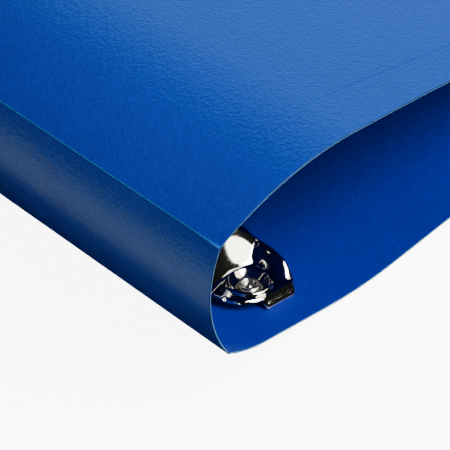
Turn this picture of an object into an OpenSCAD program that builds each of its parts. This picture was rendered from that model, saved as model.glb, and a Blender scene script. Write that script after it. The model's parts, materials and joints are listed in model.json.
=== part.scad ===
/* [Sheet] */
// Height of the binder along the spine
binder_h = 315; // [300:1:330]
// Width of the spine panel between its two score lines
spine_w = 35; // [30:1:40]
// Width of each cover from its score line to its free edge
cover_w = 234; // [225:1:250]
// Thickness of the plastic sheet
sheet_t = 0.5; // [0.5:0.1:0.8]
// Radius of the covers' free corners
corner_r = 7; // [2:0.5:15]

/* [Rings] */
// Distance between neighbouring rings
ring_pitch = 80; // [60:1:80]
// Inside diameter of a closed ring
ring_inside_d = 25; // [20:1:28]
// Diameter of the ring wire
wire_d = 3; // [2.5:0.1:3.5]
// Slope of each blade when the rings are closed
blade_slope = 10; // [6:1:12]

/* [Cover plate] */
// Width of the arched plate over the blades
plate_w = 22.4; // [22:0.1:23]
// Height of the arched plate above the back cover
plate_h = 12.9; // [12.7:0.1:13.3]
// Thickness of the plate's steel
plate_t = 0.8; // [0.6:0.1:1]
// Distance from a rivet's centre to the nearer end of the binder
rivet_inset = 16.5; // [15:0.5:18]

/* [Hidden] */
$fn = 64;
cut = 1;                 // extra depth that a cutting shape runs past a face
step_len = 3;            // longest straight piece of a curved section

// The score lines: a thin web that bends, in a gap between two panel edges
web_r = 0.25;
web_gap = 0.3;
tongue_t = 0.4;
panel_start = web_r + web_gap;

// Each panel's section is a chain of arcs: [length, angle at its start, angle at its end]
seat_angle = -12.5;
back_bend = 12.5;
seat_len = 21;
landing = 24;
back_arcs = [[back_bend, -38, seat_angle],
             [seat_len, seat_angle, seat_angle],
             [landing, seat_angle, 0],
             [cover_w - back_bend - seat_len - landing, 0, 0]];
spine_arcs = [[spine_w, 113.5, 54]];
front_bow = 46;
front_arcs = [[front_bow, 21.5, -10.5],
              [cover_w - front_bow, -10.5, -19.6]];

function arc_point(p, a0, a1, len, s) =
    a0 == a1
        ? p + s * [cos(a0), sin(a0)]
        : let (r = len / ((a1 - a0) * PI / 180), a = a0 + (a1 - a0) * s / len)
          p + r * [sin(a) - sin(a0), cos(a0) - cos(a)];

// Points along the chain, each with the direction of the sheet there: [x, z, angle]
function chain(arcs, p, i = 0) =
    i == len(arcs) ? [] :
    let (seg = arcs[i], n = seg[1] == seg[2] ? 1 : ceil(seg[0] / step_len),
         end = arc_point(p, seg[1], seg[2], seg[0], seg[0]))
    concat([for (k = [0 : n - (i < len(arcs) - 1 ? 1 : 0)])
                let (q = arc_point(p, seg[1], seg[2], seg[0], seg[0] * k / n))
                [q[0], q[1], seg[1] + (seg[2] - seg[1]) * k / n]],
           chain(arcs, end, i + 1));

function shifted(points, side) =
    [for (q = points) [q[0] - side * sin(q[2]), q[1] + side * cos(q[2])]];
function trimmed(points) =
    concat([[points[0][0] + panel_start * cos(points[0][2]),
             points[0][1] + panel_start * sin(points[0][2]), points[0][2]]],
           [for (k = [1 : len(points) - 1]) points[k]]);
function reversed(points) = [for (k = [len(points) - 1 : -1 : 0]) points[k]];
function outline(points) =
    concat(shifted(points, -sheet_t / 2), reversed(shifted(points, sheet_t / 2)));

// The middle of the sheet, with the bottom score line at [0, 0]
back_chain = chain(back_arcs, [0, 0]);
spine_chain = chain(spine_arcs, [0, 0]);
top_score = [for (k = [0, 1]) spine_chain[len(spine_chain) - 1][k]];
front_chain = chain(front_arcs, top_score);
back_outline = outline(trimmed(back_chain));
front_outline = outline(trimmed(front_chain));
spine_trimmed = reversed([for (q = trimmed(reversed([for (q = trimmed(spine_chain))
                          [q[0], q[1], q[2] + 180]]))) [q[0], q[1], q[2] - 180]]);
spine_outline = outline(spine_trimmed);

// The frame: centred under the binder, standing on the back cover
all_x = [for (q = concat(back_outline, front_outline, spine_outline)) q[0]];
all_z = [for (q = back_outline) q[1]];
origin_x = -(min(all_x) + max(all_x)) / 2;
origin_z = -min(all_z);

// The ring mechanism's own frame: on the seat, W away from the cover
seat_s = 10;
seat_foot = [back_chain[ceil(back_bend / step_len)][0], back_chain[ceil(back_bend / step_len)][1]];
seat_x = seat_foot[0] + seat_s * cos(seat_angle) - sheet_t / 2 * sin(seat_angle);
seat_z = seat_foot[1] + seat_s * sin(seat_angle) + sheet_t / 2 * cos(seat_angle);
rivet_y = binder_h / 2 - rivet_inset;

// The plate's arch, its sloping ends and the flat nose round each rivet
arch_half = plate_w / 2;
arch_wall = 5.2;
arch_steps = 24;
hood_y = rivet_y - 12;
nose_half = 9.9;
nose_len = 6.6;
nose_steps = 24;
skirt_end = 7.7;
skirt_start = -1;
skirt_corner_r = 2.9;
nose_w = 3.5;
slope_end = 5;
slope_lap = 1;           // how far the slope and the nose run into each other
section_t = 0.1;         // thickness of the slice that starts the slope
sink = 0.01;             // how far a hollow starts below the face it opens

// The pressed bowl round each rivet: a raised rim, a sloping side and a foot that rests on the cover
rim_outer_r = 6.3;
rim_r = 5.25;
rim_w = 4.4;
rim_half = 0.45;
rim_drop = 0.25;
bowl_r = 3;
bowl_w = 2.4;
foot_r = 3.2;

// The tubular rivets
rivet_r = 2;
rivet_fit = 0.05;
rivet_bore_r = 1;
ring_top_r = 2.35;
ring_top_wire = 0.45;
washer_r = 5;
washer_t = 0.6;

// The blades: hinged at their outer edges, their inner edges meet under the arch
blade_t = 0.9;
blade_gap = 0.15;
pivot_u = arch_half - 2.5;
pivot_w = 3.6;
blade_len = pivot_u - blade_gap;
blade_y = hood_y - 1.5;

// The rings
ring_r = (ring_inside_d + wire_d) / 2;
ring_w = 17.5;
ring_foot = 13;          // angle from the ring's lowest point to its foot on the blade
lap = 1.3;               // length of the lap joint at the ring's top
lap_turn = 10;           // how far a half ring is drawn past the top before the lap joint is cut
lap_gap = 0.06;
slot_y = 2.3;
slot_u = 7;
slot_w = 3.4;
ring_y = [for (k = [-1.5 : 1 : 1.5]) k * ring_pitch];

module upright(outline_points, height) {
    rotate([90, 0, 0])
        translate([0, 0, -height / 2])
            linear_extrude(height) polygon(outline_points);
}

module in_frame() {
    translate([origin_x, 0, origin_z]) children();
}

module on_seat() {
    in_frame() translate([seat_x, 0, seat_z]) rotate([0, -seat_angle, 0]) children();
}

// A block that reaches from the score line to the cover's free edge, with rounded free corners
module corner_cutter(free_x) {
    inner_x = free_x - corner_r;
    inner_y = binder_h / 2 - corner_r;
    tall = 2 * cover_w;
    translate([0, 0, -cover_w]) {
        translate([-spine_w, -binder_h / 2, 0]) cube([inner_x + spine_w, binder_h, tall]);
        translate([0, -inner_y, 0]) cube([free_x, 2 * inner_y, tall]);
        for (y = [-inner_y, inner_y])
            translate([inner_x, y, 0]) cylinder(r = corner_r, h = tall);
    }
}

module front_cover() {
    color("#0f58ad")
        in_frame()
            intersection() {
                upright(front_outline, binder_h);
                corner_cutter(max([for (q = front_outline) q[0]]));
            }
}

module spine_panel() {
    color("#173a72")
        in_frame() upright(spine_outline, binder_h);
}

module back_cover() {
    color("#0a47a0")
        difference() {
            in_frame()
                intersection() {
                    upright(back_outline, binder_h);
                    corner_cutter(max([for (q = back_outline) q[0]]));
                }
            for (y = [-rivet_y, rivet_y])
                on_seat() translate([0, y, -2 * sheet_t]) cylinder(r = rivet_r + rivet_fit, h = 3 * sheet_t);
        }
}

// A score line's web: a round bead on the line and a tongue, thinner than the bead, to the panel's edge
module hinge_web(p, angle) {
    translate([p[0], 0, p[1]]) {
        rotate([90, 0, 0]) cylinder(r = web_r, h = binder_h, center = true);
        rotate([0, -angle, 0])
            translate([0, -binder_h / 2, -tongue_t / 2]) cube([panel_start, binder_h, tongue_t]);
    }
}

module front_hinge() {
    color("#2f86d6")
        in_frame() hinge_web(top_score, spine_arcs[0][2] + 180);
}

module back_hinge() {
    color("#2f86d6")
        in_frame() hinge_web([0, 0], spine_arcs[0][1]);
}

// Half-width and height of the arch, a straight wall below half of an ellipse
function arch_line(inset) =
    concat([[arch_half - inset, 0]],
           [for (k = [0 : arch_steps])
                let (a = 180 * k / arch_steps)
                [(arch_half - inset) * cos(a), arch_wall + (plate_h - arch_wall - inset) * sin(a)]],
           [[-(arch_half - inset), 0]]);

module arch_section(inset) {
    rotate([90, 0, 0]) linear_extrude(section_t, center = true) polygon(arch_line(inset));
}

// The nose's outline: half of an ellipse in front of the rivet, straight sides behind it
module nose_outline() {
    polygon(concat([for (k = [0 : nose_steps])
                        let (a = -180 * k / nose_steps)
                        [nose_half * cos(a), nose_len * sin(a)]],
                   [[-nose_half, slope_end + slope_lap], [nose_half, slope_end + slope_lap]]));
}

// The skirt's outline, on the side of the covers' free edges: a straight end and a round corner
module skirt_outline(inset) {
    corner = [arch_half - skirt_corner_r, -skirt_end + skirt_corner_r];
    translate(corner) circle(skirt_corner_r - inset);
    translate([skirt_start + inset, -skirt_end + inset])
        square([corner[0] - skirt_start - inset, skirt_end + slope_end + slope_lap]);
    translate([corner[0], corner[1]])
        square([skirt_corner_r - inset, skirt_end + slope_end + slope_lap - skirt_corner_r + inset]);
}

// The bowl's section: down from the rim to the rivet's seat, with the foot under it
module bowl() {
    rotate_extrude()
        polygon([[0, 0], [foot_r, 0], [foot_r, bowl_w - plate_t],
                 [rim_r - rim_half, nose_w - rim_drop],
                 [rim_outer_r, nose_w - plate_t], [rim_outer_r, nose_w],
                 [rim_r + rim_half, rim_w - rim_drop], [rim_r, rim_w], [rim_r - rim_half, rim_w - rim_drop],
                 [bowl_r, bowl_w], [0, bowl_w]]);
}

// One end of the plate, with the rivet's centre at the origin and the hood towards +Y
module plate_end() {
    slope_len = rivet_y - hood_y;
    difference() {
        union() {
            difference() {
                union() {
                    translate([0, 0, nose_w - plate_t]) linear_extrude(plate_t) nose_outline();
                    difference() {
                        linear_extrude(nose_w) skirt_outline(0);
                        translate([0, 0, -plate_t]) linear_extrude(nose_w) skirt_outline(plate_t);
                    }
                    difference() {
                        hull() {
                            translate([0, slope_len, 0]) arch_section(0);
                            translate([-arch_half, slope_end, 0]) cube([plate_w, slope_lap, nose_w]);
                        }
                        hull() {
                            translate([0, slope_len + section_t, -sink]) arch_section(plate_t);
                            translate([-arch_half + plate_t, slope_end - slope_lap, -sink])
                                cube([plate_w - 2 * plate_t, slope_lap, nose_w - plate_t]);
                        }
                    }
                }
                translate([0, 0, -cut]) cylinder(r = rim_r, h = nose_w + 2 * cut);
            }
            bowl();
        }
        translate([0, 0, -cut]) cylinder(r = rivet_r + rivet_fit, h = nose_w + 2 * cut);
    }
}

module ring_plate() {
    color("#c9ccd1")
        on_seat() {
            difference() {
                rotate([90, 0, 0])
                    linear_extrude(2 * hood_y, center = true)
                        difference() {
                            polygon(arch_line(0));
                            translate([0, -sink]) polygon(arch_line(plate_t));
                        }
                for (y = ring_y)
                    for (side = [-1, 1])
                        translate([side > 0 ? slot_u : -slot_u - arch_half, y - slot_y, slot_w])
                            cube([arch_half, 2 * slot_y, plate_h]);
            }
            translate([0, -rivet_y, 0]) plate_end();
            translate([0, rivet_y, 0]) mirror([0, 1, 0]) plate_end();
        }
}

module blade(side) {
    color("#9aa0a8")
        on_seat()
            translate([side * pivot_u, 0, pivot_w])
                rotate([0, side * -blade_slope, 0]) {
                    translate([side > 0 ? -blade_len : 0, -blade_y, -blade_t / 2])
                        cube([blade_len, 2 * blade_y, blade_t]);
                    rotate([90, 0, 0]) cylinder(r = blade_t / 2, h = 2 * blade_y, center = true);
                }
}

// Half of a ring: from its foot on the blade, round the outside, to the lap joint at the top
module half_ring(side, y) {
    color("#d5d8dc")
        on_seat()
            translate([0, y, ring_w])
                difference() {
                    rotate([90, 0, 0])
                        rotate([0, 0, side > 0 ? -90 + ring_foot : 90 - lap_turn])
                            rotate_extrude(angle = 180 + lap_turn - ring_foot)
                                translate([ring_r, 0]) circle(d = wire_d);
                    // the lap joint: each half keeps one side of the wire, up to the other half's step
                    translate([side > 0 ? -3 * lap : lap / 2 - lap_gap, -wire_d, 0])
                        cube([2.5 * lap + lap_gap, 2 * wire_d, 2 * ring_r]);
                    translate([side > 0 ? -3 * lap : -lap / 2, side > 0 ? -lap_gap : -wire_d, 0])
                        cube([3.5 * lap, wire_d + lap_gap, 2 * ring_r]);
                }
}

// A tubular rivet: its shank through the plate and the cover, its end rolled into a ring
module rivet(y) {
    shank_low = -sheet_t - washer_t;
    color("#dfe1e4")
        on_seat()
            translate([0, y, 0])
                difference() {
                    union() {
                        translate([0, 0, shank_low]) cylinder(r = rivet_r, h = bowl_w - shank_low);
                        translate([0, 0, bowl_w]) cylinder(r = ring_top_r, h = ring_top_wire);
                        translate([0, 0, bowl_w + ring_top_wire])
                            rotate_extrude() translate([ring_top_r, 0]) circle(r = ring_top_wire);
                    }
                    cylinder(r = rivet_bore_r, h = bowl_w + 2 * ring_top_wire + cut);
                }
}

module washer(y) {
    color("#b9bdc3")
        on_seat()
            translate([0, y, -sheet_t - washer_t])
                difference() {
                    cylinder(r = washer_r, h = washer_t);
                    translate([0, 0, -cut]) cylinder(r = rivet_r + rivet_fit, h = washer_t + 2 * cut);
                }
}

front_cover();
front_hinge();
spine_panel();
back_hinge();
back_cover();
ring_plate();
blade(-1);  // blade_left
blade(1);  // blade_right
for (k = [0 : 3])
    half_ring(-1, ring_y[k]);
for (k = [0 : 3])
    half_ring(1, ring_y[k]);
rivet(-rivet_y);  // rivet_1
rivet(rivet_y);  // rivet_2
washer(-rivet_y);  // washer_1
washer(rivet_y);  // washer_2
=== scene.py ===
"""The looks of a ring binder: embossed plastic covers, score lines pale with whitening and painted highlight,
and a chrome ring mechanism.
"""

import json
import math

import bmesh
import bpy
from mathutils import Matrix, Vector

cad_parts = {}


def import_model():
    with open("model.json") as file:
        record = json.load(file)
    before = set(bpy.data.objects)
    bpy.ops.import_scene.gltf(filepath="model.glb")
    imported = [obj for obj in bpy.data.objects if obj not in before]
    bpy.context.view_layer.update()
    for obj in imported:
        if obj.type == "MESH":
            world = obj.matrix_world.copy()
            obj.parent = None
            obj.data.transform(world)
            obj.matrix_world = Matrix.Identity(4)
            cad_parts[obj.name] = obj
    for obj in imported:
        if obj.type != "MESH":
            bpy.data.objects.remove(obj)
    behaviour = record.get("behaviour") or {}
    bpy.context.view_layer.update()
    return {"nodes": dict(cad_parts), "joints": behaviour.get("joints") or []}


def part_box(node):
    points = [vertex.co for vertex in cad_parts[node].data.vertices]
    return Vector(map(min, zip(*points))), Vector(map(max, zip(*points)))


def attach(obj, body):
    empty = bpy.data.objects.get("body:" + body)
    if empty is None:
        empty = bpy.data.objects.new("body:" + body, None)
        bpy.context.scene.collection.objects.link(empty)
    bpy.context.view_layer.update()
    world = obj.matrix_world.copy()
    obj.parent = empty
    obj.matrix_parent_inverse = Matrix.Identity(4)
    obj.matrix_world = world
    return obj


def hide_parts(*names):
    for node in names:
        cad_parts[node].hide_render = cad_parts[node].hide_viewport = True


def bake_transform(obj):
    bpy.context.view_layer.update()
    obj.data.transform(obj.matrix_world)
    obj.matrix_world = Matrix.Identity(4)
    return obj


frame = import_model()

MM = 0.001
JOINTS = {joint["name"]: joint for joint in frame["joints"]}


# ---------------------------------------------------------------- the binder's sheet

# The places of the two score lines come from the joints.
BOTTOM_SCORE = Vector(JOINTS["back_fold"]["pos_m"])
TOP_SCORE = Vector(JOINTS["front_fold"]["pos_m"])
HALF_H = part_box("front_cover")[1].y
SHEET_T = 0.5 * MM
EDGE_BEVEL = 0.10 * MM
CORNER_R = 7 * MM
COVER_W = 234 * MM
SPINE_W = 35 * MM
SCORE_HALF = 0.35 * MM           # from a score line to the first full-thickness point of a panel
COVER_STEP = 1.5 * MM            # the length of one face along a cover's section
SPINE_STEP = 0.8 * MM
SHEET_ROWS = 120                 # faces along the spine's direction

# Edges that bend by more than this, in degrees, are shaded sharp.
SHEET_SHARP, PLATE_SHARP, RING_SHARP, LATHE_SHARP = 30, 40, 50, 55

# Each section is a chain of arcs: length, angle at its start, angle at its end.
SEAT_ANGLE = -12.5
BACK_ARCS = [(12.5 * MM, -38, SEAT_ANGLE), (21 * MM, SEAT_ANGLE, SEAT_ANGLE), (24 * MM, SEAT_ANGLE, 0),
             (COVER_W - 57.5 * MM, 0, 0)]
SPINE_ARCS = [(SPINE_W, 113.5, 54)]
FRONT_ARCS = [(46 * MM, 21.5, -10.5), (COVER_W - 46 * MM, -10.5, -19.6)]


def section_point(arcs, start, distance):
    """The point at that distance along a chain of arcs, as x, z and the sheet's angle in radians."""
    x, z = start.x, start.z
    for number, (length, first, last) in enumerate(arcs):
        a0, a1 = math.radians(first), math.radians(last)
        here = distance if number == len(arcs) - 1 else min(distance, length)
        if first == last:
            x, z, angle = x + here * math.cos(a0), z + here * math.sin(a0), a0
        else:
            r = length / (a1 - a0)
            angle = a0 + (a1 - a0) * here / length
            x, z = x + r * (math.sin(angle) - math.sin(a0)), z + r * (math.cos(a0) - math.cos(angle))
        distance -= here
        if distance <= 1e-9:
            break
    return x, z, angle


def on_sheet(arcs, start, s, y, h):
    """A point of a bent sheet: s along its section, y along the spine, h off its middle."""
    x, z, angle = section_point(arcs, start, s)
    return (x - h * math.sin(angle), y, z + h * math.cos(angle))


def new_piece(name, points, faces, body=None, smooth=True):
    """A mesh piece without materials, riding on a body if one is named."""
    mesh = bpy.data.meshes.new(name)
    mesh.from_pydata([tuple(p) for p in points], [], faces)
    mesh.validate()
    mesh.update()
    if smooth:
        mesh.shade_smooth()
    piece = bpy.data.objects.new(name, mesh)
    bpy.context.scene.collection.objects.link(piece)
    if body:
        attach(piece, body)
    return piece


def outward(piece):
    """Turns every face outward."""
    work = bmesh.new()
    work.from_mesh(piece.data)
    bmesh.ops.recalc_face_normals(work, faces=work.faces)
    work.to_mesh(piece.data)
    work.free()
    piece.data.update()


CORNER_TURNS = 10                # columns round a free corner


def panel_columns(length, start_s, free_corner, step):
    """Distances along the section, closer together where the free corners turn."""
    straight_end = length - free_corner
    count = max(2, round((straight_end - start_s) / step))
    columns = [start_s + (straight_end - start_s) * k / count for k in range(count + 1)]
    turns = CORNER_TURNS if free_corner > 0 else 0
    columns += [straight_end + free_corner * math.sin(math.pi / 2 * k / turns) for k in range(1, turns + 1)]
    return columns


def panel(name, arcs, start, length, both_scored, step, rows, ripple=None):
    """A closed sheet with bevelled cut edges. Free corners are round, if it has any."""
    corner = 0 if both_scored else CORNER_R
    start_s = SCORE_HALF
    end_s = length - SCORE_HALF if both_scored else length
    columns = panel_columns(end_s, start_s, corner, step)

    def half_width(s, inset):
        over = s - (end_s - corner)
        if corner == 0 or over <= 0:
            return HALF_H - inset
        return HALF_H - corner + math.sqrt(max(0, corner ** 2 - over ** 2)) - inset

    def layer(h, inset):
        grid = []
        for s in columns:
            half = half_width(s, inset)
            s_in = min(max(s, start_s), end_s - inset)
            for k in range(rows + 1):
                y = -half + 2 * half * k / rows
                lift = ripple(s_in, y) if ripple else 0
                grid.append(on_sheet(arcs, start, s_in, y, h + lift))
        return grid

    t = SHEET_T / 2
    top, bottom = layer(t, EDGE_BEVEL), layer(-t, EDGE_BEVEL)
    edges = [layer(h, 0) for h in (t - EDGE_BEVEL, 0, EDGE_BEVEL - t)]
    n = rows + 1
    m = len(columns)
    size = n * m
    rim = (list(range(n)) + [c * n + n - 1 for c in range(1, m)]
           + [(m - 1) * n + k for k in range(n - 2, -1, -1)] + [c * n for c in range(m - 2, 0, -1)])
    points = top + bottom
    faces = []
    for c in range(m - 1):
        for k in range(n - 1):
            a, b, d, e = c * n + k, (c + 1) * n + k, (c + 1) * n + k + 1, c * n + k + 1
            faces.append((a, b, d, e))
            faces.append((size + a, size + e, size + d, size + b))
    first_edge_face = len(faces)
    loops = [list(rim)]
    for edge in edges:
        loops.append(list(range(len(points), len(points) + len(rim))))
        points += [edge[v] for v in rim]
    loops.append([size + v for v in rim])
    for k in range(len(rim)):
        q = (k + 1) % len(rim)
        faces += [(one[k], one[q], other[q], other[k]) for one, other in zip(loops, loops[1:])]
    piece = new_piece(name, points, faces)
    outward(piece)
    piece.data.set_sharp_from_angle(angle=math.radians(SHEET_SHARP))
    return piece, first_edge_face


RIPPLE_FADE = 20 * MM            # the ripple dies out this near to the score line
SLOW_RIPPLE, QUICK_RIPPLE = 0.09, 0.03


def cover_ripple(s, y):
    """The slow unevenness of a moulded sheet, up to about a tenth of a millimetre."""
    slow = math.sin(31 * s + 17 * y + 0.4) * math.sin(23 * y - 9 * s)
    quick = math.sin(83 * s - 41 * y) * math.sin(57 * y + 29 * s + 1.3)
    fade = min(1, s / RIPPLE_FADE)
    return fade * (SLOW_RIPPLE * slow + QUICK_RIPPLE * quick) * MM


SCORE_LAP = 0.02 * MM            # how far a score line's strip runs into each sheet
SCORE_GROOVE = 0.04 * MM         # the depth of its groove on the outside
GROOVE_WIDTH = 0.25              # of the strip's half width
INNER_GROOVE = 0.35              # of the outer groove's depth
WHITENED_AND_HIGHLIGHT_COLUMNS = 4             # the pale columns on each side of the line, whitened and with painted highlight
STRIP_ROWS = 40


def score_strip(name, low_arcs, low_start, low_end, high_arcs, high_start, replaced, outsides):
    """The thin web along a score line, from one panel's edge to the next, grooved where it bends."""
    reach = SCORE_HALF + SCORE_LAP
    steps = 12
    t = SHEET_T / 2
    crease = TOP_SCORE if replaced == "front_hinge" else BOTTOM_SCORE
    _, _, low_angle = section_point(low_arcs, low_start, low_end - SCORE_HALF)
    _, _, high_angle = section_point(high_arcs, high_start, SCORE_HALF)
    if replaced == "back_hinge":
        low_angle += math.pi
    profile = []
    for k in range(2 * steps + 1):
        q = (k - steps) / steps
        angle = low_angle if q < 0 else high_angle
        turn = low_angle + (high_angle - low_angle) * (q * 0.5 + 0.5)
        along = q * reach
        middle = Vector((crease.x + along * math.cos(angle), 0, crease.z + along * math.sin(angle)))
        depth = SCORE_GROOVE * math.exp(-(q / GROOVE_WIDTH) ** 2)
        profile.append((middle, turn, t - depth, t - depth * INNER_GROOVE))
    rows = STRIP_ROWS
    outer = [(p.x - h * math.sin(w), p.z + h * math.cos(w)) for p, w, h, _ in profile]
    inner = [(p.x + h * math.sin(w), p.z - h * math.cos(w)) for p, w, _, h in profile]
    ring = outer + inner[::-1]
    points, faces = [], []
    for j in range(rows + 1):
        y = -HALF_H + 2 * HALF_H * j / rows
        points += [(x, y, z) for x, z in ring]
    n = len(ring)
    for j in range(rows):
        for k in range(n):
            q = (k + 1) % n
            faces.append((j * n + k, j * n + q, (j + 1) * n + q, (j + 1) * n + k))
    faces.append(tuple(range(n)))
    faces.append(tuple(rows * n + k for k in range(n - 1, -1, -1)))
    piece = new_piece(name, points, faces)
    outward(piece)
    for material in (SCORE_WHITENED_AND_HIGHLIGHT_BLUE, INNER_BLUE) + outsides:
        piece.data.materials.append(material)
    for number, polygon in enumerate(piece.data.polygons):
        column = number % n
        if number >= rows * n or column >= 2 * steps:
            polygon.material_index = 1
        elif abs(column + 0.5 - steps) > WHITENED_AND_HIGHLIGHT_COLUMNS:
            polygon.material_index = 2 if column < steps else 3
    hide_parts(replaced)
    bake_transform(piece)


# ---------------------------------------------------------------- materials

def base_material(name):
    """A material with an empty Principled shader, its node tree and its shader."""
    material = bpy.data.materials.new(name)
    material.use_nodes = True
    tree = material.node_tree
    shader = tree.nodes["Principled BSDF"]
    return material, tree, shader


def add(tree, kind, **inputs):
    """A node of that kind, with its inputs set by name."""
    node = tree.nodes.new(kind)
    for key, value in inputs.items():
        node.inputs[key.replace("_", " ")].default_value = value
    return node


def ramp(tree, source, stops):
    """A colour ramp on a value, with stops of position and colour."""
    node = tree.nodes.new("ShaderNodeValToRGB")
    elements = node.color_ramp.elements
    elements[0].position, elements[0].color = stops[0]
    elements[1].position, elements[1].color = stops[-1]
    for position, colour in stops[1:-1]:
        element = elements.new(position)
        element.color = colour
    tree.links.new(source, node.inputs["Fac"])
    return node


def object_coordinates(tree):
    """The place on the piece, in metres."""
    coordinates = tree.nodes.new("ShaderNodeTexCoord")
    mapping = tree.nodes.new("ShaderNodeMapping")
    tree.links.new(coordinates.outputs["Object"], mapping.inputs["Vector"])
    return mapping.outputs["Vector"]


def leather_grain(tree, place):
    """The height of a fine embossed leather grain: pebbles about 0.6 mm across, cut by wrinkles."""
    warp = add(tree, "ShaderNodeTexNoise", Scale=900.0, Detail=2.0)
    tree.links.new(place, warp.inputs["Vector"])
    bend = tree.nodes.new("ShaderNodeVectorMath")
    bend.operation = "MULTIPLY_ADD"
    bend.inputs[1].default_value = (0.0005, 0.0005, 0.0005)
    tree.links.new(warp.outputs["Color"], bend.inputs[0])
    tree.links.new(place, bend.inputs[2])
    pebbles = add(tree, "ShaderNodeTexVoronoi", Scale=1150.0, Randomness=1.0)
    pebbles.feature = "SMOOTH_F1"
    pebbles.inputs["Smoothness"].default_value = 0.35
    tree.links.new(bend.outputs["Vector"], pebbles.inputs["Vector"])
    wrinkles = add(tree, "ShaderNodeTexNoise", Scale=560.0, Detail=3.0, Roughness=0.55)
    tree.links.new(bend.outputs["Vector"], wrinkles.inputs["Vector"])
    together = tree.nodes.new("ShaderNodeMath")
    together.operation = "MULTIPLY_ADD"
    together.inputs[1].default_value = -0.8
    tree.links.new(pebbles.outputs["Distance"], together.inputs[0])
    tree.links.new(wrinkles.outputs["Fac"], together.inputs[2])
    return together.outputs["Value"]


# The bend mark: its direction across, where it steps up, where along X it fades in, and its strength.
CREASE_ACROSS = (0.105, 1.0, 0.0)
CREASE_LOW, CREASE_HIGH = -0.1486, -0.1480
CREASE_FADE_LOW, CREASE_FADE_HIGH = -0.078, -0.050
CREASE_STRENGTH = 0.95


def crease_mark(tree, place, height):
    """The grain's height with the faint mark of an old bend, slantwise near the front cover's end."""
    across = tree.nodes.new("ShaderNodeVectorMath")
    across.operation = "DOT_PRODUCT"
    across.inputs[1].default_value = CREASE_ACROSS
    tree.links.new(place, across.inputs[0])
    step = add(tree, "ShaderNodeMapRange")
    step.interpolation_type = "SMOOTHSTEP"
    for key, value in {"From Min": CREASE_LOW, "From Max": CREASE_HIGH, "To Min": 0.0, "To Max": 1.0}.items():
        step.inputs[key].default_value = value
    tree.links.new(across.outputs["Value"], step.inputs["Value"])
    split = tree.nodes.new("ShaderNodeSeparateXYZ")
    tree.links.new(place, split.inputs["Vector"])
    fade = add(tree, "ShaderNodeMapRange")
    fade.interpolation_type = "SMOOTHSTEP"
    for key, value in {"From Min": CREASE_FADE_LOW, "From Max": CREASE_FADE_HIGH,
                       "To Min": 0.0, "To Max": CREASE_STRENGTH}.items():
        fade.inputs[key].default_value = value
    tree.links.new(split.outputs["X"], fade.inputs["Value"])
    together = tree.nodes.new("ShaderNodeMath")
    together.operation = "MULTIPLY_ADD"
    tree.links.new(step.outputs["Result"], together.inputs[0])
    tree.links.new(fade.outputs["Result"], together.inputs[1])
    tree.links.new(height, together.inputs[2])
    return together.outputs["Value"]


def plastic(name, low, high, roughness, grain_strength, specular, tint, crease=False):
    """Dyed polypropylene with an embossed grain: colour drifts slowly, and the grain's valleys are darkened
    with painted shade.
    """
    material, tree, shader = base_material(name)
    place = object_coordinates(tree)
    drift = add(tree, "ShaderNodeTexNoise", Scale=14.0, Detail=3.0)
    tree.links.new(place, drift.inputs["Vector"])
    colour = ramp(tree, drift.outputs["Fac"], [(0.3, low + (1,)), (0.7, high + (1,))])
    height = leather_grain(tree, place)
    # Painted shade: the base colour is multiplied darker in the grain's valleys.
    shade = ramp(tree, height, [(0.0, (0.80, 0.80, 0.80, 1)), (0.45, (1, 1, 1, 1))])
    mix = tree.nodes.new("ShaderNodeMix")
    mix.data_type = "RGBA"
    mix.blend_type = "MULTIPLY"
    mix.inputs["Factor"].default_value = 1.0
    tree.links.new(colour.outputs["Color"], mix.inputs["A"])
    tree.links.new(shade.outputs["Color"], mix.inputs["B"])
    tree.links.new(mix.outputs["Result"], shader.inputs["Base Color"])
    rough = ramp(tree, drift.outputs["Fac"], [(0.2, (roughness - 0.04,) * 3 + (1,)),
                                              (0.8, (roughness + 0.04,) * 3 + (1,))])
    tree.links.new(rough.outputs["Color"], shader.inputs["Roughness"])
    bump = add(tree, "ShaderNodeBump", Strength=grain_strength, Distance=0.0001)
    tree.links.new(crease_mark(tree, place, height) if crease else height, bump.inputs["Height"])
    tree.links.new(bump.outputs["Normal"], shader.inputs["Normal"])
    shader.inputs["IOR"].default_value = 1.49
    shader.inputs["Specular IOR Level"].default_value = specular
    shader.inputs["Specular Tint"].default_value = tint + (1,)
    return material


def metal(name, low, high, roughness, scratch_scale, bump_strength):
    """Plated or rolled steel: nearly even colour, faint stains and fine rolling marks."""
    material, tree, shader = base_material(name)
    place = object_coordinates(tree)
    stain = add(tree, "ShaderNodeTexNoise", Scale=160.0, Detail=4.0)
    tree.links.new(place, stain.inputs["Vector"])
    colour = ramp(tree, stain.outputs["Fac"], [(0.35, low + (1,)), (0.65, high + (1,))])
    tree.links.new(colour.outputs["Color"], shader.inputs["Base Color"])
    shader.inputs["Metallic"].default_value = 1.0
    rough = ramp(tree, stain.outputs["Fac"], [(0.3, (roughness * 0.8,) * 3 + (1,)),
                                              (0.7, (roughness * 1.3,) * 3 + (1,))])
    tree.links.new(rough.outputs["Color"], shader.inputs["Roughness"])
    marks = add(tree, "ShaderNodeTexNoise", Scale=scratch_scale, Detail=5.0)
    tree.links.new(place, marks.inputs["Vector"])
    bump = add(tree, "ShaderNodeBump", Strength=bump_strength, Distance=0.00002)
    tree.links.new(marks.outputs["Fac"], bump.inputs["Height"])
    tree.links.new(bump.outputs["Normal"], shader.inputs["Normal"])
    return material


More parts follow.
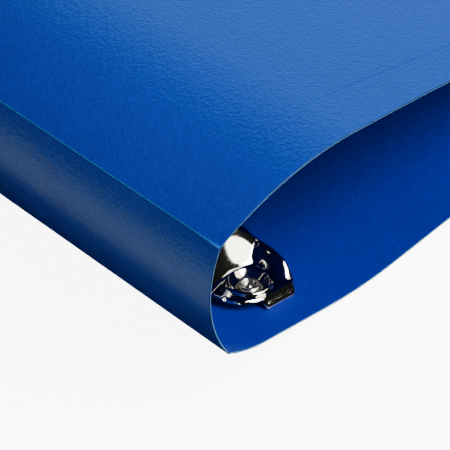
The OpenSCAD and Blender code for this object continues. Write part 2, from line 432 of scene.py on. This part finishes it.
# Each plastic: low and high colour, roughness, grain, specular level and tint.
# Each metal: low and high colour, roughness, the marks' scale and their bump.
SHEEN_TINT = (0.16, 0.85, 1.0)
PALE_TINT = (0.38, 1.0, 1.0)
COVER_BLUE = plastic("cover_blue", (0.0040, 0.0150, 0.255), (0.0046, 0.0170, 0.28), 0.38, 0.9, 0.45,
                     SHEEN_TINT, crease=True)
# The spine's blue is a lighter copy of the cover's blue on the same sheet: painted light that brightens the
# spine where the lamps miss it.
SPINE_PAINTED_LIGHT_BLUE = plastic("spine_painted_light_blue", (0.0050, 0.029, 0.30), (0.0058, 0.032, 0.34), 0.34, 0.9, 0.60, PALE_TINT)
INNER_BLUE = plastic("inner_blue", (0.0002, 0.0082, 0.205), (0.0003, 0.0092, 0.22), 0.45, 0.03, 0.08,
                     SHEEN_TINT)
# The score line's pale blue is partly the sheet's whitening at the crease and partly painted highlight.
SCORE_WHITENED_AND_HIGHLIGHT_BLUE = plastic("score_whitened_and_highlight", (0.010, 0.11, 0.36), (0.016, 0.15, 0.42), 0.35, 0.10, 0.5, PALE_TINT)
# The cut edge in two tones of one surface: a dark half with painted shade and a pale half with painted
# highlight.
EDGE_SHADE_BLUE = plastic("cut_edge_shade_blue", (0.0002, 0.006, 0.07), (0.0004, 0.008, 0.09), 0.45, 0.05, 0.3, PALE_TINT)
EDGE_HIGHLIGHT_PALE = plastic("cut_edge_highlight_pale", (0.09, 0.22, 0.38), (0.14, 0.30, 0.48), 0.45, 0.4, 0.3, PALE_TINT)
CHROME = metal("plate_chrome", (0.80, 0.78, 0.71), (0.88, 0.86, 0.79), 0.07, 900.0, 0.03)
RING_CHROME = metal("ring_chrome", (0.80, 0.80, 0.80), (0.88, 0.88, 0.88), 0.06, 1400.0, 0.04)
RIVET_METAL = metal("rivet_metal", (0.48, 0.47, 0.45), (0.58, 0.57, 0.55), 0.22, 1200.0, 0.02)
BLADE_STEEL = metal("blade_steel", (0.45, 0.45, 0.46), (0.55, 0.55, 0.56), 0.28, 700.0, 0.25)


def sheet_materials(piece, outside_blue, first_edge_face, outer_first):
    """The sheet's embossed outside, its smooth inside and its cut edges, each in its own material; each cut
    edge is a dark half with painted shade and a pale half with painted highlight.
    """
    for material in (outside_blue, INNER_BLUE, EDGE_SHADE_BLUE, EDGE_HIGHLIGHT_PALE):
        piece.data.materials.append(material)
    for number, polygon in enumerate(piece.data.polygons):
        outside = (number % 2 == 0) == outer_first
        if number >= first_edge_face:
            outside = ((number - first_edge_face) % 4 < 2) == outer_first
            polygon.material_index = 2 if outside else 3
        else:
            polygon.material_index = 0 if outside else 1


# ---------------------------------------------------------------- covers, spine and score lines

def covers():
    """The three sheets and the two score lines between them."""
    for name, arcs, start, length, scored, step, body, ripple in (
            ("front_cover_sheet", FRONT_ARCS, TOP_SCORE, COVER_W, False, COVER_STEP, "front", cover_ripple),
            ("spine_sheet", SPINE_ARCS, BOTTOM_SCORE, SPINE_W, True, SPINE_STEP, "spine", None),
            ("back_cover_sheet", BACK_ARCS, BOTTOM_SCORE, COVER_W, False, COVER_STEP, "back", None)):
        piece, first_edge = panel(name, arcs, start, length, scored, step, SHEET_ROWS, ripple)
        # The spine takes the lighter blue with painted light.
        outside_blue = SPINE_PAINTED_LIGHT_BLUE if body == "spine" else COVER_BLUE
        sheet_materials(piece, outside_blue, first_edge, outer_first=body != "back")
        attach(piece, body)
        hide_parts({"front": "front_cover", "spine": "spine_panel", "back": "back_cover"}[body])
    score_strip("top_score_line", SPINE_ARCS, BOTTOM_SCORE, SPINE_W, FRONT_ARCS, TOP_SCORE,
                "front_hinge", (SPINE_PAINTED_LIGHT_BLUE, COVER_BLUE))
    score_strip("bottom_score_line", SPINE_ARCS, BOTTOM_SCORE, 2 * SCORE_HALF, BACK_ARCS, BOTTOM_SCORE,
                "back_hinge", (SPINE_PAINTED_LIGHT_BLUE, COVER_BLUE))


# ---------------------------------------------------------------- the ring mechanism

LEFT_PIVOT = Vector(JOINTS["left_jaw_turn"]["pos_m"])
RIGHT_PIVOT = Vector(JOINTS["right_jaw_turn"]["pos_m"])
PIVOT_W = 3.6 * MM               # the blades' pivots above the seat
ACROSS = (RIGHT_PIVOT - LEFT_PIVOT).normalized()
AWAY = Vector((-ACROSS.z, 0, ACROSS.x))
SEAT = (LEFT_PIVOT + RIGHT_PIVOT) / 2 - AWAY * PIVOT_W
RIVET_LOW, RIVET_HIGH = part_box("rivet_1")
RIVET_Y = -(RIVET_LOW.y + RIVET_HIGH.y) / 2
RING_YS = [(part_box(f"ring_left_{k}")[0].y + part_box(f"ring_left_{k}")[1].y) / 2 for k in (1, 2, 3, 4)]

PLATE_HALF = 10.5 * MM
PLATE_WALL = 5.2 * MM
PLATE_RISE = 7.0 * MM
PLATE_T = 0.8 * MM
ARCH_POWER = 2.35
WALL_STEPS = 6
ARCH_ROUND = 120                 # faces round the arch
FLOOR_W = 2.8 * MM               # the dish's floor
WIRE_R = 1.5 * MM
RING_R = 14 * MM
RING_W = 17.5 * MM               # the rings' middle above the seat


def seated(u, y, w):
    """A point of the mechanism's frame: u across the seat, y along the spine, w off the cover."""
    return SEAT + ACROSS * u + Vector((0, y, 0)) + AWAY * w


def smooth_step(low, high, value):
    """0 at low and 1 at high, with a smooth rise between."""
    t = min(1, max(0, (value - low) / (high - low)))
    return t * t * (3 - 2 * t)


def arch_columns(count):
    """The arch's section from its left foot to its right foot, as pairs of u and w."""
    wall = [k / WALL_STEPS * PLATE_WALL for k in range(WALL_STEPS)]
    top = [math.pi * (1 - k / count) for k in range(count + 1)]
    squarer = 2 / ARCH_POWER
    return ([(-PLATE_HALF, w) for w in wall]
            + [(math.copysign(PLATE_HALF * abs(math.cos(a)) ** squarer, math.cos(a)),
                PLATE_WALL + PLATE_RISE * abs(math.sin(a)) ** squarer) for a in top]
            + [(PLATE_HALF, w) for w in wall[::-1]])


NOSE_HALF = 9.2 * MM
NOSE_LEN = 5.9 * MM
SKIRT_END = 6.0 * MM
SKIRT_CORNER = 2.2 * MM
END_START = 24 * MM
FLANK_START = 4.9 * MM
FLANK_LOW = 0.03
FLANK_POWER = 3.7
FLANK_TAPER = 0.06
DISH_SIDE, DISH_SIDE_TOP = 3.6 * MM, 10.3 * MM
DISH_SIDE_FLARE = 5.0 * MM
DISH_SIDE_POWER = 4
BOWL_DEPTH = 1.2 * MM
DISH_BACK, DISH_BACK_TOP = 5.2 * MM, 14.2 * MM
DISH_FRONT, DISH_FRONT_TOP = 5.4 * MM, 11.5 * MM
DISH_BOW = 24
EDGE_ROUND = 0.5 * MM
LEFT_WALL_END, LEFT_WALL_FULL = 5.5 * MM, 8.0 * MM
NARROW_START, NARROW_END = 6 * MM, -1 * MM
HALVES_LOW, HALVES_HIGH = -1.4 * MM, -0.4 * MM       # where the round left and the straight right meet
FLARE_START, FLARE_END = 6.0 * MM, 9.0 * MM
BOWL_RIM, BOWL_FLOOR = 5.0 * MM, 3.6 * MM

# The edge's rows, from the plate outward, in millimetres. The lip gives how far out and how far down each
# one lies, and the foot how far out and at what height.
LIP = ((0.10, 0.06), (0.25, 0.22), (0.32, 0.45), (0.34, 0.47))
FOOT = ((0.03, 2.62), (0.75, 1.10), (1.25, 0.60), (1.28, 0.15))
FOOT_LOW, FOOT_HIGH = -1.4 * MM, -0.6 * MM           # where the lip turns into the foot
END_ROWS, MIDDLE_ROWS = 110, 60
SHELL_SHARE = 0.9                # of the steel's thickness that is added outside the surface


def nose_line(u):
    """How far the plate's end lies past the rivet at u: round on the left, straight on the right."""
    left = -NOSE_LEN * math.sqrt(max(0, 1 - (u / NOSE_HALF) ** 2)) if u > -NOSE_HALF else 0
    over = max(0, u - (PLATE_HALF - SKIRT_CORNER))
    right = -(SKIRT_END - SKIRT_CORNER) - math.sqrt(max(0, SKIRT_CORNER ** 2 - over ** 2))
    return left + (right - left) * smooth_step(HALVES_LOW, HALVES_HIGH, u)


def end_surface(u0, w0, t):
    """A point of the plate's shaped end: t is 0 at the plain arch and 1 at the nose's outline."""
    v = END_START + (nose_line(u0) - END_START) * t
    narrow = smooth_step(NARROW_START, NARROW_END, v)
    past = min(1, max(0, (FLANK_START - v) / (FLANK_START + SKIRT_END)))
    flank = 1 - (1 - FLANK_LOW) * past ** FLANK_POWER
    if u0 < 0:
        u = u0 * (1 - (1 - NOSE_HALF / PLATE_HALF) * narrow)
    else:
        u = u0 * (1 - FLANK_TAPER * (1 - flank))
    w = w0 * flank
    if w0 > FLOOR_W:
        w = (w + FLOOR_W + math.hypot(w - FLOOR_W, EDGE_ROUND)) / 2 - EDGE_ROUND / 2
    start = DISH_SIDE + DISH_SIDE_FLARE * smooth_step(FLARE_START, FLARE_END, v)
    side = min(1, max(0, (abs(u) - start) / (DISH_SIDE_TOP - start))) ** DISH_SIDE_POWER
    if u0 < 0:
        side *= smooth_step(LEFT_WALL_END, LEFT_WALL_FULL, v)
    bowed = v + DISH_BOW * u ** 2
    if v > 0:
        end = smooth_step(DISH_BACK, DISH_BACK_TOP, bowed)
    else:
        end = smooth_step(DISH_FRONT, DISH_FRONT_TOP, -v)
    w = FLOOR_W + (w - FLOOR_W) * (1 - (1 - side) * (1 - end))
    w -= BOWL_DEPTH * smooth_step(BOWL_RIM, BOWL_FLOOR, math.hypot(u, v))
    if u0 < 0:
        w = max(w, (FLOOR_W - PLATE_T) * narrow)
    return u, v, w


def plate():
    """The arched cover plate with both shaped ends, its ring slots cut, made as one sheet of steel."""
    columns = arch_columns(ARCH_ROUND)
    rows = []
    for (out, down), (foot_out, foot_w) in zip(LIP[::-1], FOOT[::-1]):
        row = []
        for u0, w0 in columns:
            u, v, w = end_surface(u0, w0, 1)
            drop = smooth_step(FOOT_LOW, FOOT_HIGH, u0)
            lowered = (w - down * MM) * (1 - drop) + min(w, foot_w * MM) * drop
            row.append((u, v - (out * (1 - drop) + foot_out * drop) * MM, lowered))
        rows.append(row)
    for k in range(END_ROWS + 1):
        rows.append([end_surface(u0, w0, 1 - k / END_ROWS) for u0, w0 in columns])
    shaped = [[seated(u, -RIVET_Y + v, w) for u, v, w in row] for row in rows]
    far_end = [[seated(u, RIVET_Y - v, w) for u, v, w in row] for row in rows[::-1]]
    straight = []
    first_y, last_y = -RIVET_Y + END_START, RIVET_Y - END_START
    for k in range(1, MIDDLE_ROWS):
        y = first_y + (last_y - first_y) * k / MIDDLE_ROWS
        straight.append([seated(u0, y, w0) for u0, w0 in columns])
    grid = shaped + straight + far_end
    n = len(columns)
    points = [p for row in grid for p in row]
    faces = [(j * n + k, j * n + k + 1, (j + 1) * n + k + 1, (j + 1) * n + k)
             for j in range(len(grid) - 1) for k in range(n - 1)]
    piece = new_piece("ring_plate_shell", points, faces)
    thick = piece.modifiers.new("steel", "SOLIDIFY")
    thick.thickness = PLATE_T * SHELL_SHARE
    thick.offset = 1.0
    thick.use_even_offset = False
    cutter = slot_cutter()
    cut = piece.modifiers.new("slots", "BOOLEAN")
    cut.object = cutter
    cut.operation = "DIFFERENCE"
    cut.solver = "EXACT"
    made = apply_modifiers(piece)
    bpy.data.objects.remove(cutter)
    made.data.set_sharp_from_angle(angle=math.radians(PLATE_SHARP))
    made.data.materials.append(CHROME)
    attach(made, "back")
    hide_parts("ring_plate")


def apply_modifiers(piece):
    """Makes the modified shape the piece's own mesh."""
    graph = bpy.context.evaluated_depsgraph_get()
    mesh = bpy.data.meshes.new_from_object(piece.evaluated_get(graph))
    piece.modifiers.clear()
    piece.data = mesh
    mesh.shade_smooth()
    return piece


def slot_cutter():
    """Round-cornered blocks where the ring wires come through the plate's flanks."""
    points, faces = [], []
    half_y, corner, sides = 2.3 * MM, 0.8 * MM, 6
    inner_u, outer_u, low_w, high_w = 7.4 * MM, 12.5 * MM, 4.6 * MM, 11.0 * MM
    outline = []
    for cy, cw, first in ((half_y - corner, high_w - corner, 0), (-half_y + corner, high_w - corner, 90),
                          (-half_y + corner, low_w + corner, 180), (half_y - corner, low_w + corner, 270)):
        for k in range(sides + 1):
            a = math.radians(first + 90 * k / sides)
            outline.append((cy + corner * math.cos(a), cw + corner * math.sin(a)))
    n = len(outline)
    for y in RING_YS:
        for side in (-1, 1):
            base = len(points)
            for u in (inner_u, outer_u):
                points += [seated(side * u, y + dy, w) for dy, w in outline]
            faces += [(base + k, base + (k + 1) % n, base + n + (k + 1) % n, base + n + k) for k in range(n)]
            faces += [tuple(base + k for k in range(n - 1, -1, -1)), tuple(base + n + k for k in range(n))]
    piece = new_piece("slot_cutter", points, faces, smooth=False)
    outward(piece)
    return piece


SAME_POINT = 1e-7


def lathe(name, profile, y, body, material, segments=96):
    """A turned piece on a rivet's axis, from a profile of radius and height in millimetres."""
    points, faces = [], []
    n = len(profile)
    for k in range(segments):
        a = 2 * math.pi * k / segments
        points += [seated(r * MM * math.cos(a), y + r * MM * math.sin(a), w * MM) for r, w in profile]
    for k in range(segments):
        q = (k + 1) % segments
        faces += [(k * n + i, q * n + i, q * n + i + 1, k * n + i + 1) for i in range(n - 1)]
    piece = new_piece(name, points, faces)
    work = bmesh.new()
    work.from_mesh(piece.data)
    bmesh.ops.remove_doubles(work, verts=work.verts, dist=SAME_POINT)
    bmesh.ops.recalc_face_normals(work, faces=work.faces)
    work.to_mesh(piece.data)
    work.free()
    piece.data.shade_smooth()
    piece.data.set_sharp_from_angle(angle=math.radians(LATHE_SHARP))
    piece.data.materials.append(material)
    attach(piece, body)
    return piece


def rolled(centre_r, centre_w, radius, first, last, steps=10):
    """Points round part of a circle of a lathe's profile."""
    return [(centre_r + radius * math.cos(math.radians(first + (last - first) * k / steps)),
             centre_w + radius * math.sin(math.radians(first + (last - first) * k / steps)))
            for k in range(steps + 1)]


def rivets():
    """At each end, the pressed bowl round the rivet, its rolled ring inside and its head outside."""
    boss = ([(6.3, 2.0), (6.3, 3.30), (6.15, 3.48), (5.9, 3.78)] + rolled(5.25, 3.80, 0.65, 30, 130, 8)
            + [(3.0, 2.55), (2.7, 2.45), (2.1, 2.42), (2.1, 2.0), (6.3, 2.0)])
    tube = ([(0.0, 3.05), (0.35, 3.00), (0.65, 2.85), (0.85, 2.62), (1.3, 2.50), (1.8, 2.52)]
            + rolled(2.35, 2.95, 0.45, 200, -60, 16) + [(2.3, 2.3), (0.0, 2.2)])
    head = ([(0.0, -1.6), (1.6, -1.58), (3.2, -1.44), (4.3, -1.2)] + rolled(4.6, -0.9, 0.35, -60, 90, 6)
            + [(3.0, -0.52), (0.0, -0.52)])
    for number, y in ((1, -RIVET_Y), (2, RIVET_Y)):
        lathe(f"plate_boss_{number}", boss, y, "back", CHROME)
        tail = lathe(f"rivet_tube_{number}", tube, y, "back", RIVET_METAL)
        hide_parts(f"rivet_{number}")
        outside = lathe(f"rivet_head_{number}", head, y, "back", RIVET_METAL)
        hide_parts(f"washer_{number}")


def half_ring(side, number, y):
    """Half of a ring: a round wire from its foot on the blade to a lap joint at the top."""
    foot, lap, lap_gap = 13, 0.62 * MM, 0.06 * MM
    sides, steps = 24, 64
    points, faces = [], []
    first, last = -90 + foot, 90
    for station in range(steps):
        angle = math.radians(first + (last - first) * station / steps)
        for k in range(sides):
            a = 2 * math.pi * k / sides
            r = RING_R + WIRE_R * math.cos(a)
            points.append(seated(side * r * math.cos(angle), y + WIRE_R * math.sin(a) * side,
                                 RING_W + r * math.sin(angle)))
    # The last stations step down to half of the wire, which overlaps the other ring half.
    for reach, whole in ((lap, True), (lap, False), (-lap, False)):
        for k in range(sides):
            a = 2 * math.pi * k / sides
            off = WIRE_R * math.sin(a) * side
            if not whole:
                off = min(off, -lap_gap) if side > 0 else max(off, lap_gap)
            r = RING_R + WIRE_R * math.cos(a)
            points.append(seated(side * reach, y + off, RING_W + r))
    rings = len(points) // sides
    for j in range(rings - 1):
        for k in range(sides):
            q = (k + 1) % sides
            faces.append((j * sides + k, j * sides + q, (j + 1) * sides + q, (j + 1) * sides + k))
    faces.append(tuple(range(sides)))
    faces.append(tuple((rings - 1) * sides + k for k in range(sides - 1, -1, -1)))
    hand = "left" if side < 0 else "right"
    piece = new_piece(f"ring_wire_{hand}_{number}", points, faces)
    outward(piece)
    piece.data.set_sharp_from_angle(angle=math.radians(RING_SHARP))
    piece.data.materials.append(RING_CHROME)
    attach(piece, f"{hand}_jaw")
    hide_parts(f"ring_{hand}_{number}")


def mechanism():
    """The plate, its rivets and the rings, and the steel of the CAD's own blades."""
    plate()
    rivets()
    for number, y in enumerate(RING_YS, 1):
        half_ring(-1, number, y)
        half_ring(1, number, y)
    for name in ("blade_left", "blade_right"):
        node = frame["nodes"][name]
        node.data.materials.clear()
        node.data.materials.append(BLADE_STEEL)


# ---------------------------------------------------------------- camera, floor and light

CAMERA_AZIMUTH, CAMERA_ELEVATION, CAMERA_ROLL = -35.38, 43.68, -10.81       # degrees
CAMERA_DISTANCE = 0.6124
CAMERA_AIM = Vector((18.04, 16.77, 19.27)) * MM       # from the spine's lower front corner
LENS, SENSOR = 202, 36


def camera():
    """A long lens near the binder's front lower corner, from the spine's side."""
    azimuth, elevation, roll = (math.radians(a) for a in (CAMERA_AZIMUTH, CAMERA_ELEVATION, CAMERA_ROLL))
    corner = Vector((BOTTOM_SCORE.x, -HALF_H, BOTTOM_SCORE.z))
    aim = corner + CAMERA_AIM
    look = Vector((-math.sin(azimuth) * math.cos(elevation), math.cos(azimuth) * math.cos(elevation),
                   -math.sin(elevation)))
    right = look.cross(Vector((0, 0, 1))).normalized()
    up = right.cross(look)
    turned_right = right * math.cos(roll) + up * math.sin(roll)
    turned_up = up * math.cos(roll) - right * math.sin(roll)
    data = bpy.data.cameras.new("camera")
    data.lens, data.sensor_width = LENS, SENSOR
    data.clip_start, data.clip_end = 0.01, 50
    eye = bpy.data.objects.new("camera", data)
    bpy.context.scene.collection.objects.link(eye)
    eye.matrix_world = Matrix.Translation(aim - look * CAMERA_DISTANCE) @ Matrix(
        (turned_right, turned_up, -look)).transposed().to_4x4()
    bpy.context.scene.camera = eye


# Each light's name, the direction it stands in, its distance and size in metres, power in watts and colour.
SOFTBOXES = (
    ("key", (0.30, -0.60, 0.73), 1.0, 0.48, 18.5, (1, 1, 1)),
    ("side", (0.69, -0.31, 0.64), 1.0, 0.45, 2.8, (1.0, 0.98, 0.90)),
    ("front", (0.27, -0.84, 0.385), 1.0, 0.60, 8.5, (1.0, 0.97, 0.88)),
    ("low_left", (-0.80, -0.55, 0.12), 1.0, 0.4, 2.5, (0.62, 0.86, 1.0)),
    ("rim", (0.80, 0.62, 0.42), 1.6, 1.3, 13.5, (0.27, 0.75, 1.0)),
    ("top", (-0.14, 0.56, 0.81), 1.5, 1.2, 1.9, (1.0, 0.85, 0.60)),
)


def softbox(name, towards, distance, size, power, colour):
    """A square area light that faces the mechanism's end of the binder."""
    target = Vector((BOTTOM_SCORE.x + 0.03, -HALF_H + 0.05, 0.03))
    direction = Vector(towards).normalized()
    data = bpy.data.lights.new(name, "AREA")
    data.shape, data.size, data.energy, data.color = "SQUARE", size, power, colour
    light = bpy.data.objects.new(name, data)
    bpy.context.scene.collection.objects.link(light)
    light.location = target + direction * distance
    light.rotation_mode = "QUATERNION"
    light.rotation_quaternion = direction.to_track_quat("Z", "Y")


def floor(name, low, high, z, albedo, glow):
    """A plain flat floor from one corner to the other, of that lightness and glow."""
    mesh = bpy.data.meshes.new(name)
    mesh.from_pydata([(low[0], low[1], z), (high[0], low[1], z), (high[0], high[1], z), (low[0], high[1], z)],
                     [], [(0, 1, 2, 3)])
    ground = bpy.data.objects.new(name, mesh)
    bpy.context.scene.collection.objects.link(ground)
    material, _, shader = base_material(name)
    shader.inputs["Base Color"].default_value = (albedo, albedo, albedo, 1)
    shader.inputs["Roughness"].default_value = 0.9
    shader.inputs["Specular IOR Level"].default_value = 0
    shader.inputs["Emission Color"].default_value = (1, 1, 1, 1)
    shader.inputs["Emission Strength"].default_value = glow
    mesh.materials.append(material)
    return ground


def floors():
    """A glowing white floor for the camera alone, and an unseen grey-white card beside the spine."""
    seen = floor("floor", (-4, -4), (4, 4), -0.0002, 0.9, 8.0)
    seen.visible_diffuse = seen.visible_glossy = seen.visible_shadow = False
    card = floor("bounce_card", (-0.60, -0.25), (-0.150, 0.60), -0.0004, 0.60, 0.0)
    card.visible_camera = False


def world():
    """A faint even light from all round."""
    sky = bpy.data.worlds.new("studio")
    bpy.context.scene.world = sky
    sky.use_nodes = True
    background = sky.node_tree.nodes["Background"]
    background.inputs["Color"].default_value = (0.9, 0.95, 1.0, 1)
    background.inputs["Strength"].default_value = 0.008


camera()
covers()
mechanism()
floors()
world()
for softbox_row in SOFTBOXES:
    softbox(*softbox_row)
